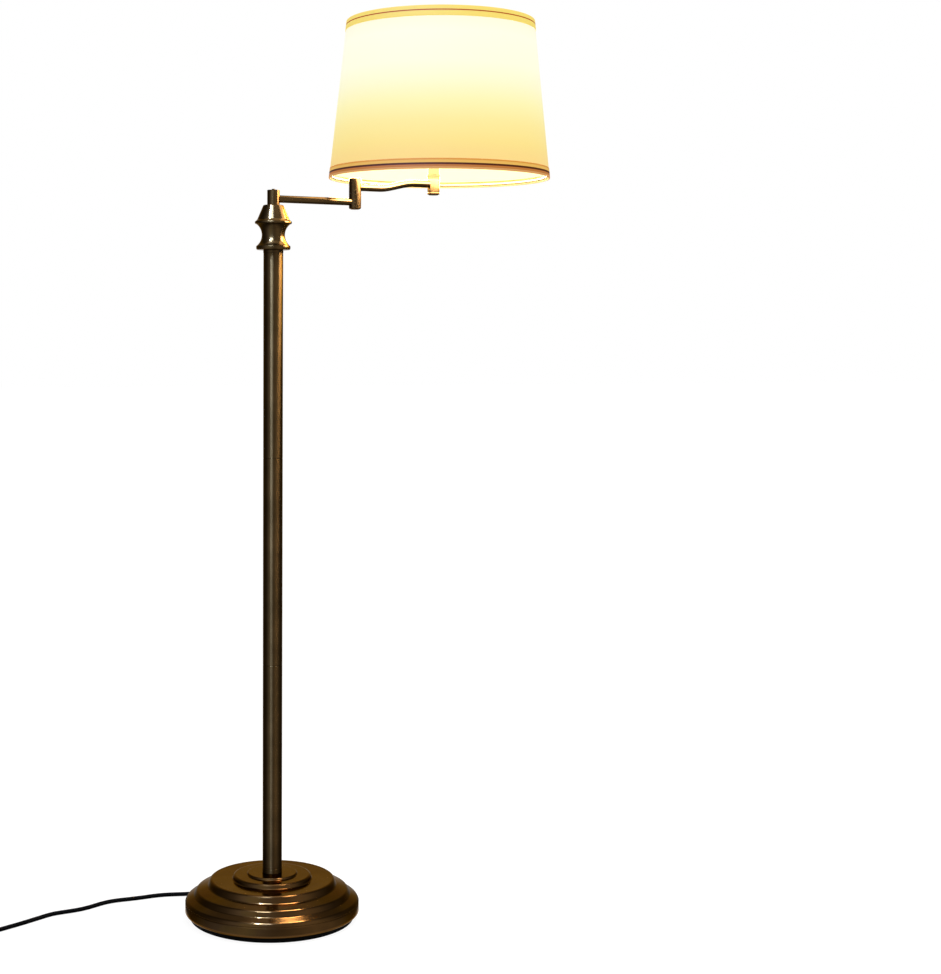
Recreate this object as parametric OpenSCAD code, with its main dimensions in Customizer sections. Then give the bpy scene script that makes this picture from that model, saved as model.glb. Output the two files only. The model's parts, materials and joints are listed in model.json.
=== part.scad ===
// Swing-arm floor lamp: stepped round base, three-part pole, turned neck, two-link arm, tapered shade.
// Millimetres. The pole stands on the Z axis, the floor is z = 0, and the straight arm points along +X.

/* [Base] */
// Widest diameter of the stepped cover
base_d = 280; // [240:1:340]
// Wall of the spun cover
cover_wall = 1.2; // [0.8:0.1:2]
// Height of the crease round the rim
crease_h = 26; // [22:0.5:32]
// Rise from the crease to the top of the rim roll
rim_rise = 6; // [4:0.5:9]
// Radial width of the rim roll
rim_w = 19; // [16:0.5:24]
// Rise from the rim roll to the lower step
lower_rise = 14.3; // [12:0.1:20]
// Radial width of the lower step
lower_w = 21.5; // [19:0.5:27]
// Rise from the lower step to the broad step
broad_rise = 17.1; // [13:0.1:22]
// Rise from the broad step to the upper step
upper_rise = 6.6; // [5:0.1:9]
// Radial width of the upper step
upper_w = 22.5; // [16:0.5:28]
// Rise from the upper step to the small flat top
top_rise = 3; // [2:0.1:5]
// Diameter of the small flat top
top_d = 78.6; // [60:0.2:96]
// Thickness of the pad under the lamp
pad_h = 9; // [8:0.5:12]
// Height of the cover's lower edge above the floor
skirt_gap = 7.6; // [4:0.1:7.8]
// Thickness of the weight's disc
weight_h = 10; // [8:0.5:16]

/* [Pole] */
// Outer diameter of the pole
pole_d = 31; // [26:0.5:38]
// Wall of the pole tubes
pole_wall = 1.2; // [0.8:0.1:2]
// Height of the ferrule at the pole's foot
foot_h = 7; // [5:0.5:12]
// Length of the lower and of the middle tube
section_l = 329.5; // [250:0.5:400]
// Length of the upper tube
upper_l = 321; // [250:0.5:400]
// Height of the ring at the pole's top
collar_h = 5; // [3:0.5:8]
// Length of the threaded plugs in the tube ends
insert_l = 16; // [12:0.5:22]

/* [Neck] */
// Height of the spool
spool_h = 40; // [34:0.5:48]
// Diameter of the spool's waist
waist_d = 36.2; // [33:0.1:44]
// Widest diameter of the spool
spool_d = 53.2; // [50:0.1:64]
// Height of the bell
bell_h = 29.5; // [27:0.5:38]
// Diameter across the bell's lip
lip_d = 58.2; // [54:0.1:72]
// Diameter of the bell's top
bell_top_d = 31.2; // [29:0.1:36]

/* [Arm] */
// Distance between the two pivots, and from the elbow to the socket
link_l = 140; // [110:1:200]
// Outer diameter of the arm tubes
arm_d = 11.5; // [9.5:0.1:13]
// Wall of the arm tubes
arm_wall = 1; // [0.8:0.1:1.5]
// Outer diameter of the pivot knuckles
knuckle_d = 19.4; // [18.5:0.1:24]
// Height of each pivot knuckle
knuckle_h = 23; // [21:0.5:28]
// Wall of the knuckles
knuckle_wall = 1.9; // [1.5:0.1:2.2]
// Height of the knuckle at the socket end
end_knuckle_h = 25; // [23:0.5:30]
// Rise of the outer arm from the elbow to the socket end
arm_rise = 10; // [9:0.5:16]
// Height of the arm tubes below the middle of the elbow's and the column's knuckles
arm_drop = 2; // [0:0.5:2.5]
// Diameter of the pivot spindles
spindle_d = 8.4; // [7.6:0.1:8.8]

/* [Socket and harp] */
// Height of the neck tube above the ring
neck_h = 19; // [14:0.5:30]
// Diameter of the neck tube
neck_d = 18; // [16:0.1:19]
// Diameter of the socket
socket_d = 33; // [32.4:0.1:36]
// Height of the socket's shell
socket_h = 40; // [38:0.5:50]
// Height from the saddle to the seat of the shade
harp_h = 201.5; // [190:0.5:260]
// Widest width of the harp
harp_w = 114; // [90:1:140]
// Width of the harp at its feet
harp_foot_w = 57; // [50:0.5:64]
// How far the harp's top leans outward
harp_lean = 10; // [0:0.5:14]
// Diameter of the bulb's globe
bulb_d = 60; // [50:1:66]

/* [Shade] */
// Diameter across the shade's lower edge
shade_bottom_d = 359; // [300:0.5:430]
// Diameter across the shade's upper edge
shade_top_d = 304; // [250:0.5:370]
// Height of the shade
shade_h = 250; // [215:1:300]
// Depth of the shade's seat below its upper edge
seat_drop = 22; // [12:0.5:30]
// Thickness of the lined fabric
fabric_t = 1.2; // [0.8:0.1:2]
// Width of the ribbon trims
trim_w = 16; // [10:0.5:20]
// Thickness of the ribbon trims
trim_t = 0.8; // [0.5:0.1:1.2]
// Diameter of the frame's wire
wire_d = 3.2; // [2.6:0.1:4]

/* [Mains lead] */
// Diameter of the lead outside the base
cord_d = 7; // [5:0.1:7]
// Diameter of the lead inside the lamp
inner_cord_d = 4.4; // [3.6:0.1:4.8]
// Direction in which the lead leaves the base
cord_angle = 120; // [110:1:128]
// Height of the lead's outlet
outlet_z = 5.2; // [5.1:0.1:6.5]

/* [Hidden] */

bronze = [0.42, 0.31, 0.20];
dark = [0.16, 0.14, 0.12];
steel = [0.62, 0.62, 0.62];
brass = [0.78, 0.62, 0.32];
iron = [0.25, 0.25, 0.26];
cream = [0.98, 0.92, 0.74];
gold = [0.90, 0.70, 0.34];
glass = [0.96, 0.95, 0.90];

// Clearances: pieces soldered or screwed together, a turning pivot, pieces that pass each other.
snug = 0.05;
turn = 0.05;
clear = 0.4;
fine = 120;
small = 48;
knife = 0.5;

// Threaded tubes run through the whole lamp and carry the lead.
rod_r = 4.8;
rod_bore = 3.2;
rod_hole = rod_r + clear;
thread_hole = rod_r + snug;
spindle_r = spindle_d / 2;
spindle_bore = 2.7;
wire_r = inner_cord_d / 2;

// Base
base_r = base_d / 2;
rim_h = crease_h + rim_rise;
lower_h = rim_h + lower_rise;
broad_h = lower_h + broad_rise;
upper_h = broad_h + upper_rise;
base_h = upper_h + top_rise;
lower_r = base_r - rim_w;
broad_r = lower_r - lower_w;
top_r = top_d / 2;
upper_r = top_r + upper_w;
lip_r = base_r - 6.6;
crease_in = 1.6;
pad_r = lip_r - 1.7;
weight_r = base_r - 28;
boss_r = 20;
recess_r = 16;
recess_h = 22;
channel_w = 8;
channel_h = 7;
washer_t = 1.5;
nut_h = 6.4;
outlet_r = 5;

// Pole: heights of the seams
pole_r = pole_d / 2;
pole_bore = pole_r - pole_wall;
seam_0 = base_h + foot_h;
seam_1 = seam_0 + section_l;
seam_2 = seam_1 + section_l;
pole_top = seam_2 + upper_l;
neck_z = pole_top + collar_h;
bell_z = neck_z + spool_h;
bell_top = bell_z + bell_h;
neck_cavity_r = 12;
spindle_foot_r = 6;
spindle_foot_h = 8.5;

// Knuckles and arms
knuckle_r = knuckle_d / 2;
cavity_r = knuckle_r - knuckle_wall;
plug_r = cavity_r - snug;
floor_t = 3;
arm_r = arm_d / 2;
arm_start = cavity_r - knife;
lower_z = bell_top + 0.2;
arm_z = lower_z + knuckle_h / 2 - arm_drop;
upper_z = lower_z + knuckle_h + clear;
outer_z = upper_z + knuckle_h / 2 - arm_drop;
socket_x = 2 * link_l;
end_z = outer_z + arm_rise;
end_bottom = end_z - end_knuckle_h / 2;
end_top = end_z + end_knuckle_h / 2;
cap_t = 1.5;
cap_plug = 2.5;
nub_r = 2.6;
nub_h = 1.8;
dome_h = 2.4;
top_dome_h = 1.2;
bead_h = 5;
ring_h = 3;
thin_washer_t = 1;
small_nut_h = 3.5;
small_nut_r = 6.6;
washer_gap = 0.2;
elbow_nut_z = upper_z - clear - floor_t - washer_gap - thin_washer_t - small_nut_h;

// Axis of the outer arm: level at the elbow, an S bend over the middle of the link, level again
bend_start = 0.3;
bend_end = 0.74;
bend_steps = 14;
bend_x = [for (k = [0:bend_steps]) link_l * (1 + bend_start + (bend_end - bend_start) * k / bend_steps)];
function s_rise(x) =
    let (u = min(1, max(0, (x / link_l - 1 - bend_start) / (bend_end - bend_start))))
    arm_rise * u * u * (3 - 2 * u);
outer_axis = concat([[link_l + arm_start, 0, outer_z]], [for (x = bend_x) [x, 0, outer_z + s_rise(x)]],
    [[socket_x - arm_start, 0, end_z]]);

// Socket, harp and shade
neck_start = end_top + ring_h;
saddle_z = neck_start + neck_h;
saddle_t = 1.5;
saddle_top = saddle_z + saddle_t;
tab_w = 5;
tab_h = 20;
tab_top = saddle_top + tab_h;
socket_r = socket_d / 2;
socket_cap_h = 14;
shell_z = saddle_top + socket_cap_h;
core_h = 10;
bulb_r = 13;
bulb_screw_h = 24;
bulb_seat = shell_z + core_h + 1.2;
globe_z = bulb_seat + bulb_screw_h;
key_z = shell_z + core_h / 2;
key_r = 1.8;
seat_z = saddle_top + harp_h;
stud_r = 3.1;
stud_x = socket_x + harp_lean;
plate_t = 2.5;
shade_top = seat_z + seat_drop;
shade_z = shade_top - shade_h;
shade_fall = (shade_bottom_d - shade_top_d) / 2 / shade_h;
function shade_r(z) = shade_bottom_d / 2 - trim_t - shade_fall * z;
wire_half = wire_d / 2;
spider_t = 2;

// The harp's bow: it leaves its feet upright, swells to its full width and closes in half an ellipse
bow_z = tab_top + clear / 2;
bow_h = norm([seat_z - plate_t - wire_half - snug - bow_z, harp_lean]);
bow_mid = 0.52;
function bow_side(u) = harp_foot_w / 2 + (harp_w - harp_foot_w) / 4 * (1 - cos(180 * u));
bow_leg = [for (k = [0:9]) [0, bow_side(k / 10), bow_h * bow_mid * k / 10]];
bow_path = concat(bow_leg,
    [for (a = [0:9:180]) [0, harp_w / 2 * cos(a), bow_h * (bow_mid + (1 - bow_mid) * sin(a))]],
    [for (k = [9:-1:0]) [0, -bow_leg[k][1], bow_leg[k][2]]]);

// Mains lead: its route lies flat on the floor from the strain relief's tip to the coil
cord_r = cord_d / 2;
relief_in = base_r - 20;
relief_out = base_r + 18;
groove_z = 2.5;
groove_in = weight_r - 18;
function out_at(r, z) = [r * cos(cord_angle), r * sin(cord_angle), z];
tip = out_at(relief_out + clear / 2, outlet_z);
cord_route = [for (p = [[-4, 6.5, 5], [-9.5, 11.5, 4.4], [-17, 15.5, 3.8], [-28, 20, 3.5],
    [-42, 24, 3.5], [-56, 26.5, 3.5], [-72, 27, 3.5], [-90, 26.5, 3.5], [-108, 27, 3.5],
    [-124, 28, 3.5], [-138, 27.5, 3.5], [-152, 24.5, 3.5], [-167, 18.5, 3.5], [-182, 12, 3.5],
    [-197, 7.5, 3.5], [-212, 5.5, 3.5], [-228, 4.5, 3.5], [-242, 3, 3.5], [-254, -1, 3.5],
    [-268, -7.5, 3.5], [-283, -14.5, 3.5], [-298, -21.5, 3.5], [-313, -28, 3.5], [-329, -34.5, 3.5],
    [-351.3, -43.6, 3.5]])
    [tip[0] + p[0], tip[1] + p[1], p[2]]];
coil_at = [tip[0] - 394.6, tip[1] - 14];
coil_mid_r = 38;
coil_rings = 3;
coil_layers = 2;
tail_route = [for (p = [[-46, 25.5, 10.4], [-46, 34, 9.6], [-46, 42, 7.9], [-46, 50, 6.5], [-46, 57, 6.5]])
    [coil_at[0] + p[0], coil_at[1] + p[1], p[2]]];
plug_w = 26;
plug_l = 34;
plug_t = 13;
plug_neck = 14;
blade_l = 17;

function unit(v) = v / norm(v);

// Points of one corner b of an outline, with neighbours a and c, rounded to the radius b[2]
function corner(a, b, c, n) =
    b[2] == 0 ? [[b[0], b[1]]] :
    let (p = [b[0], b[1]],
        u = unit([a[0], a[1]] - p),
        v = unit([c[0], c[1]] - p),
        half = acos(u * v) / 2,
        centre = p + unit(u + v) * b[2] / sin(half),
        s = p + u * b[2] / tan(half) - centre,
        e = p + v * b[2] / tan(half) - centre,
        from = atan2(s[1], s[0]),
        to = atan2(e[1], e[0]),
        step = to - from > 180 ? to - from - 360 : to - from < -180 ? to - from + 360 : to - from)
    [for (k = [0:n]) centre + b[2] * [cos(from + step * k / n), sin(from + step * k / n)]];

// Outline through corners [r, z, radius], each rounded to its radius
function rounded(p, n = 5) =
    [for (i = [0:len(p) - 1])
        each corner(p[(i + len(p) - 1) % len(p)], p[i], p[(i + 1) % len(p)], n)];

// Solid turned about the Z axis from rounded corners
module turned(p, n = 5) {
    rotate_extrude($fn = fine) polygon(rounded(p, n));
}

module pipe(r, bore, z0, z1) {
    translate([0, 0, z0]) difference() {
        cylinder(r = r, h = z1 - z0, $fn = small);
        translate([0, 0, -1]) cylinder(r = bore, h = z1 - z0 + 2, $fn = small);
    }
}

module hex_nut(r, bore, z0, h) {
    translate([0, 0, z0]) difference() {
        cylinder(r = r, h = h, $fn = 6);
        translate([0, 0, -1]) cylinder(r = bore, h = h + 2, $fn = small);
    }
}

// Directions along a path, and the circle of points round each of its points
function along(p, i) = unit(p[min(i + 1, len(p) - 1)] - p[max(i - 1, 0)]);
function hoop(p, i, r, side, n) =
    let (t = along(p, i),
        u = unit(cross(t, side)),
        v = cross(u, t))
    [for (k = [0:n - 1]) p[i] + r * (cos(360 * k / n) * u + sin(360 * k / n) * v)];

// Round rod swept along a path; side is a direction that the path never runs along
module swept(p, r, side, n = 10) {
    last = len(p) - 1;
    polyhedron(
        points = [for (i = [0:last]) each hoop(p, i, r, side, n)],
        faces = concat(
            [[for (k = [0:n - 1]) k]],
            [for (i = [0:last - 1]) for (k = [0:n - 1]) each
                [[i * n + k, (i + 1) * n + k, i * n + (k + 1) % n],
                [(i + 1) * n + k, (i + 1) * n + (k + 1) % n, i * n + (k + 1) % n]]],
            [[for (k = [n - 1:-1:0]) last * n + k]]));
}

// Tube swept along a path: an outer skin, an inner skin and a ring at each end
module swept_tube(p, r, bore, side, n = 24) {
    last = len(p) - 1;
    inner = len(p) * n;
    polyhedron(
        points = concat(
            [for (i = [0:last]) each hoop(p, i, r, side, n)],
            [for (i = [0:last]) each hoop(p, i, bore, side, n)]),
        faces = concat(
            [for (i = [0:last - 1]) for (k = [0:n - 1]) each
                [[i * n + k, (i + 1) * n + k, i * n + (k + 1) % n],
                [(i + 1) * n + k, (i + 1) * n + (k + 1) % n, i * n + (k + 1) % n],
                [inner + i * n + k, inner + i * n + (k + 1) % n, inner + (i + 1) * n + k],
                [inner + (i + 1) * n + k, inner + i * n + (k + 1) % n, inner + (i + 1) * n + (k + 1) % n]]],
            [for (k = [0:n - 1]) each
                [[k, (k + 1) % n, inner + k],
                [(k + 1) % n, inner + (k + 1) % n, inner + k],
                [last * n + k, inner + last * n + k, last * n + (k + 1) % n],
                [last * n + (k + 1) % n, inner + last * n + k, inner + last * n + (k + 1) % n]]]));
}

// ---------------------------------------------------------------- base

module base_outline() {
    polygon(rounded([[0, skirt_gap, 0], [lip_r, skirt_gap, 0.8], [base_r, crease_h - 16, 5],
        [base_r - 0.6, crease_h - 1.5, 0.8], [base_r - crease_in, crease_h, 0.3],
        [base_r - 0.4, crease_h + 1, 0.6], [base_r - 3, rim_h, 6.5], [lower_r + 4.5, rim_h + 5.7, 3.5],
        [lower_r, lower_h, 5.5], [broad_r + 3, lower_h + 5.9, 3.5], [broad_r, broad_h, 4.5],
        [upper_r + 1.4, broad_h - 0.8, 2], [upper_r, upper_h, 4], [top_r + 0.7, upper_h, 1.2],
        [top_r, base_h, 1.5], [0, base_h, 0]]));
}

module base_cover() {
    color(bronze) difference() {
        rotate_extrude($fn = fine) difference() {
            base_outline();
            intersection() {
                translate([-cover_wall, -cover_wall]) base_outline();
                translate([-cover_wall, cover_wall]) base_outline();
                square([base_r - crease_in - cover_wall, base_h]);
            }
            square([lip_r, skirt_gap + 2 * cover_wall]);
        }
        translate([0, 0, upper_h]) cylinder(r = rod_hole, h = base_h, $fn = small);
        rotate([0, 0, cord_angle]) translate([relief_in, 0, outlet_z]) rotate([0, 90, 0])
            cylinder(r = outlet_r + snug, h = base_r, $fn = small);
    }
}

module base_weight() {
    color(iron) difference() {
        union() {
            translate([0, 0, pad_h]) cylinder(r = weight_r, h = weight_h, $fn = fine);
            translate([0, 0, pad_h]) cylinder(r = boss_r, h = base_h - cover_wall - pad_h, $fn = fine);
        }
        translate([0, 0, pad_h - 1]) cylinder(r = recess_r, h = recess_h + 1, $fn = small);
        translate([0, 0, pad_h]) cylinder(r = rod_hole, h = base_h, $fn = small);
        rotate([0, 0, cord_angle]) translate([0, -channel_w / 2, pad_h - 1])
            cube([base_r, channel_w, channel_h + 1]);
    }
}

module base_pad() {
    slot = outlet_r + snug;
    color(dark) difference() {
        turned([[0, 0, 0], [pad_r - 0.8, 0, 0.5], [pad_r, 1.5, 0.5], [pad_r, pad_h, 0.4], [0, pad_h, 0]]);
        rotate([0, 0, cord_angle]) {
            translate([relief_in - snug, -slot, -1]) cube([base_r, 2 * slot, pad_h + 2]);
            translate([groove_in, -channel_w / 2, groove_z]) cube([base_r - groove_in, channel_w, pad_h]);
        }
    }
}

module cord_relief() {
    color(dark) rotate([0, 0, cord_angle]) translate([relief_in, 0, outlet_z]) rotate([0, 90, 0])
        rotate_extrude($fn = small) polygon([[0, 0], [outlet_r, 0], [outlet_r, 5.5], [cord_r + 1.6, 6.5],
            [cord_r + 0.4, relief_out - relief_in], [0, relief_out - relief_in]]);
}

module base_rod() {
    color(steel) pipe(rod_r, rod_bore, pad_h + recess_h - 10, seam_0 + insert_l + 2);
}

module base_washer() {
    color(steel) pipe(recess_r - 4, thread_hole, pad_h + recess_h - washer_t, pad_h + recess_h);
}

module base_nut() {
    color(steel) hex_nut(9.2, thread_hole, pad_h + recess_h - washer_t - nut_h, nut_h);
}

// ---------------------------------------------------------------- pole

module pole_tube(z0, z1) {
    rotate_extrude($fn = fine) polygon([[pole_bore, z0], [pole_r - knife, z0], [pole_r, z0 + knife],
        [pole_r, z1 - knife], [pole_r - knife, z1], [pole_bore, z1]]);
}

module pole_foot() {
    color(bronze) turned([[rod_hole, base_h, 0], [pole_r + 0.2, base_h, 0.4],
        [pole_r + 0.2, seam_0, 0.6], [rod_hole, seam_0, 0]]);
}

module pole_lower() {
    color(bronze) pole_tube(seam_0, seam_1);
}

module pole_middle() {
    color(bronze) pole_tube(seam_1, seam_2);
}

module pole_upper() {
    color(bronze) pole_tube(seam_2, pole_top);
}

module pole_inserts() {
    color(steel) for (z = [seam_0, seam_1 - insert_l, seam_1, seam_2 - insert_l, seam_2, pole_top - insert_l])
        pipe(pole_bore - snug, thread_hole, z, z + insert_l - snug);
}

module pole_nipples() {
    color(steel) for (z = [seam_1, seam_2])
        pipe(rod_r, rod_bore, z - insert_l + 4, z + insert_l - 4);
}

module pole_collar() {
    color(bronze) turned([[rod_hole, pole_top, 0], [pole_r + 0.3, pole_top, 0.5],
        [pole_r + 0.3, neck_z, 0.5], [rod_hole, neck_z, 0]]);
}

// ---------------------------------------------------------------- neck

// The flank is an arc: it meets the top and the rim at the spool's full width
module neck_spool() {
    swell = (spool_d - waist_d) / 2;
    waist_z = neck_z + 0.575 * spool_h;
    rise = bell_z - waist_z;
    flank_r = (rise * rise + swell * swell) / (2 * swell);
    flank = [for (k = [-14:14]) let (z = rise * k / 14)
        [waist_d / 2 + flank_r - sqrt(flank_r * flank_r - z * z), waist_z + z]];
    rim = flank[0];
    color(bronze) rotate_extrude($fn = fine)
        polygon(concat([[neck_cavity_r, neck_z], [rim[0] - 1.6, neck_z], [rim[0] - 0.3, neck_z + 0.7],
            [rim[0] + 0.3, neck_z + 2.6], [rim[0] + 0.3, rim[1] - 1.4]], flank,
            [[rod_hole, bell_z], [rod_hole, bell_z - 6], [neck_cavity_r, bell_z - 6]]));
}

module neck_bell() {
    foot_top = bell_top - spindle_foot_h;
    color(bronze) turned([[neck_cavity_r, bell_z, 0], [lip_d / 2 - 1.4, bell_z, 0.4],
        [lip_d / 2, bell_z + 1.4, 0.7], [lip_d / 2 - 0.4, bell_z + 4, 1],
        [lip_d / 2 - 3.7, bell_z + 6.6, 6], [bell_top_d / 2, bell_top, 2.2],
        [spindle_foot_r + snug, bell_top, 0], [spindle_foot_r + snug, foot_top, 0],
        [rod_hole, foot_top, 0], [rod_hole, bell_z + 14, 0], [neck_cavity_r, bell_z + 14, 0]]);
}

module neck_rod() {
    color(steel) pipe(rod_r, rod_bore, pole_top - 12, bell_top - spindle_foot_h - snug);
}

// ---------------------------------------------------------------- column pivot

module column_spindle() {
    color(steel) rotate_extrude($fn = small) polygon([[spindle_bore, bell_top - spindle_foot_h],
        [spindle_foot_r, bell_top - spindle_foot_h], [spindle_foot_r, bell_top], [spindle_r, bell_top],
        [spindle_r, lower_z + floor_t + 7], [spindle_bore, lower_z + floor_t + 7]]);
}

module column_washer() {
    z0 = lower_z + floor_t + washer_gap;
    color(steel) pipe(small_nut_r, spindle_r + snug, z0, z0 + thin_washer_t);
}

module column_nut() {
    color(steel) rotate([0, 0, 30])
        hex_nut(small_nut_r, spindle_r + snug, lower_z + floor_t + washer_gap + thin_washer_t, small_nut_h);
}

module arm_hole(z, from, to) {
    translate([from, 0, z]) rotate([0, 90, 0]) cylinder(r = arm_r + snug, h = to - from, $fn = small);
}

module column_knuckle() {
    top = lower_z + knuckle_h - cap_t;
    color(bronze) difference() {
        translate([0, 0, lower_z]) cylinder(r = knuckle_r, h = top - lower_z, $fn = fine);
        translate([0, 0, lower_z + floor_t]) cylinder(r = cavity_r, h = knuckle_h, $fn = small);
        translate([0, 0, lower_z - 1]) cylinder(r = spindle_r + turn, h = floor_t + 2, $fn = small);
        arm_hole(arm_z, 0, 2 * knuckle_r);
    }
}

module column_cap() {
    z0 = lower_z + knuckle_h - cap_t;
    color(bronze) turned([[0, z0 - cap_plug, 0], [plug_r, z0 - cap_plug, 0], [plug_r, z0, 0],
        [knuckle_r, z0, 0], [knuckle_r, z0 + cap_t, 0.5], [nub_r, z0 + cap_t, 0.3],
        [nub_r, z0 + cap_t + nub_h, 0.8], [0, z0 + cap_t + nub_h, 0]]);
}

module inner_arm_tube() {
    color(bronze) translate([arm_start, 0, arm_z]) rotate([0, 90, 0])
        pipe(arm_r, arm_r - arm_wall, 0, link_l - 2 * arm_start);
}

// ---------------------------------------------------------------- elbow

module elbow_lower_knuckle() {
    color(bronze) difference() {
        translate([link_l, 0, lower_z]) cylinder(r = knuckle_r, h = knuckle_h, $fn = fine);
        translate([link_l, 0, lower_z - 1]) cylinder(r = cavity_r, h = knuckle_h - floor_t + 1, $fn = small);
        translate([link_l, 0, lower_z]) cylinder(r = spindle_r + turn, h = knuckle_h + 1, $fn = small);
        arm_hole(arm_z, link_l - 2 * knuckle_r, link_l);
    }
}

module elbow_bottom_cap() {
    color(bronze) translate([link_l, 0, lower_z]) turned([[0, -dome_h, 0], [6, -dome_h, 3],
        [knuckle_r - 0.3, -0.8, 0.6], [knuckle_r - 0.3, 0, 0], [plug_r, 0, 0], [plug_r, cap_plug, 0],
        [0, cap_plug, 0]]);
}

module elbow_upper_knuckle() {
    color(bronze) difference() {
        translate([link_l, 0, upper_z]) cylinder(r = knuckle_r, h = knuckle_h, $fn = fine);
        translate([link_l, 0, upper_z + floor_t]) cylinder(r = cavity_r, h = knuckle_h, $fn = small);
        translate([link_l, 0, upper_z - 1]) cylinder(r = spindle_r + snug, h = floor_t + 2, $fn = small);
        arm_hole(outer_z, link_l, link_l + 2 * knuckle_r);
    }
}

module elbow_top_cap() {
    color(bronze) translate([link_l, 0, upper_z + knuckle_h]) turned([[0, -cap_plug, 0],
        [plug_r, -cap_plug, 0], [plug_r, 0, 0], [knuckle_r - 0.3, 0, 0], [knuckle_r - 0.8, 0.6, 0.4],
        [6, top_dome_h, 3], [0, top_dome_h, 0]]);
}

module elbow_spindle() {
    head_z = upper_z + floor_t;
    color(steel) translate([link_l, 0, 0]) rotate_extrude($fn = small)
        polygon([[spindle_bore, elbow_nut_z - 1], [spindle_r, elbow_nut_z - 1], [spindle_r, head_z],
            [small_nut_r, head_z], [small_nut_r, head_z + 2], [spindle_bore, head_z + 2]]);
}

module elbow_washer() {
    color(steel) translate([link_l, 0, 0])
        pipe(small_nut_r, spindle_r + snug, elbow_nut_z + small_nut_h,
            elbow_nut_z + small_nut_h + thin_washer_t);
}

module elbow_nut() {
    color(steel) translate([link_l, 0, 0]) rotate([0, 0, 30])
        hex_nut(small_nut_r, spindle_r + snug, elbow_nut_z, small_nut_h);
}

// ---------------------------------------------------------------- outer arm

module outer_arm_tube() {
    color(bronze) swept_tube(outer_axis, arm_r, arm_r - arm_wall, [0, 1, 0]);
}

module shade_knuckle() {
    color(bronze) difference() {
        translate([socket_x, 0, end_bottom]) cylinder(r = knuckle_r, h = end_knuckle_h, $fn = fine);
        translate([socket_x, 0, end_bottom - 1]) cylinder(r = cavity_r, h = end_knuckle_h + 2, $fn = small);
        arm_hole(end_z, socket_x - 2 * knuckle_r, socket_x);
    }
}

module knuckle_bead() {
    color(bronze) translate([socket_x, 0, end_bottom]) turned([[0, -bead_h, 0],
        [knuckle_r - 2.8, -bead_h, 0.6], [knuckle_r + 0.4, -bead_h + 1.9, 1.4],
        [knuckle_r + 0.4, -0.9, 1], [knuckle_r - 0.9, -0.6, 0.2], [knuckle_r - 0.9, 0, 0],
        [plug_r, 0, 0], [plug_r, cap_plug, 0], [0, cap_plug, 0]]);
}

module neck_ring() {
    color(bronze) translate([socket_x, 0, end_top]) turned([[thread_hole, -cap_plug, 0],
        [plug_r, -cap_plug, 0], [plug_r, 0, 0], [knuckle_r + 0.6, 0, 0.5], [knuckle_r + 0.6, ring_h, 0.9],
        [thread_hole, ring_h, 0]]);
}

module socket_neck() {
    color(bronze) translate([socket_x, 0, 0]) pipe(neck_d / 2, neck_d / 2 - 1.2, neck_start, saddle_z);
}

module socket_rod() {
    color(steel) translate([socket_x, 0, 0]) pipe(rod_r, rod_bore, end_top - cap_plug, saddle_top + 9);
}

// ---------------------------------------------------------------- harp

module harp_saddle() {
    half = harp_foot_w / 2;
    color(brass) translate([socket_x, 0, 0]) difference() {
        union() {
            translate([-6, -half, saddle_z]) cube([12, harp_foot_w, saddle_t]);
            for (s = [-1, 1])
                translate([-tab_w / 2, s * half - saddle_t / 2, saddle_z])
                    cube([tab_w, saddle_t, tab_h + saddle_t]);
        }
        translate([0, 0, saddle_z - 1]) cylinder(r = thread_hole, h = saddle_t + 2, $fn = small);
    }
}

module harp_bow() {
    color(brass) translate([socket_x, 0, bow_z]) rotate([0, asin(harp_lean / bow_h), 0])
        swept(bow_path, wire_half, [1, 0, 0], 12);
}

module harp_sleeves() {
    bore = norm([tab_w, saddle_t]) / 2 + snug;
    color(brass) for (s = [-1, 1])
        translate([socket_x, s * harp_foot_w / 2, 0]) pipe(bore + 0.8, bore, tab_top - 9, tab_top + 4);
}

module harp_stud() {
    color(brass) translate([stud_x, 0, 0]) rotate_extrude($fn = small)
        polygon([[0, seat_z - plate_t], [7, seat_z - plate_t], [7, seat_z], [stud_r, seat_z],
            [stud_r, seat_z + 20], [0, seat_z + 20]]);
}

module finial() {
    z0 = seat_z + clear + spider_t + clear;
    color(bronze) translate([stud_x, 0, z0]) turned([[stud_r + snug, 0, 0], [7.5, 0, 0.6], [7.5, 3, 0.6],
        [4.6, 4.5, 1], [5, 9, 2], [8, 14, 3], [6.5, 20, 3], [0, 22, 0], [0, 20, 0],
        [stud_r + snug, 20, 0]], 4);
}

// ---------------------------------------------------------------- socket and bulb

module socket_cap() {
    wall = 1;
    color(brass) translate([socket_x, 0, saddle_top]) turned([[thread_hole, 0, 0], [9, 0, 1.5],
        [socket_r - 0.6, 9, 3], [socket_r, socket_cap_h - 0.1, 0], [socket_r - wall, socket_cap_h - 0.1, 0],
        [socket_r - wall - 1, 9.8, 2], [8.4, 1.6, 1], [thread_hole, 1.6, 0]]);
}

module socket_shell() {
    color(brass) translate([socket_x, 0, 0]) difference() {
        pipe(socket_r, socket_r - 1, shell_z, shell_z + socket_h);
        translate([0, 0, key_z]) rotate([0, -90, 0])
            cylinder(r = key_r + clear, h = 2 * socket_r, $fn = small);
    }
}

module socket_core() {
    bore = bulb_r + 0.3;
    color(dark) translate([socket_x, 0, shell_z]) difference() {
        rotate_extrude($fn = small) polygon([[0, 0], [socket_r - 1 - snug, 0], [socket_r - 1 - snug, core_h],
            [bore + 1, core_h], [bore + 1, core_h + bulb_screw_h - 2], [bore, core_h + bulb_screw_h - 2],
            [bore, core_h], [3, core_h], [3, core_h + 1], [0, core_h + 1]]);
        translate([1, 0, core_h / 2]) rotate([0, -90, 0])
            cylinder(r = key_r + turn, h = 2 * socket_r, $fn = small);
    }
}

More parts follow.
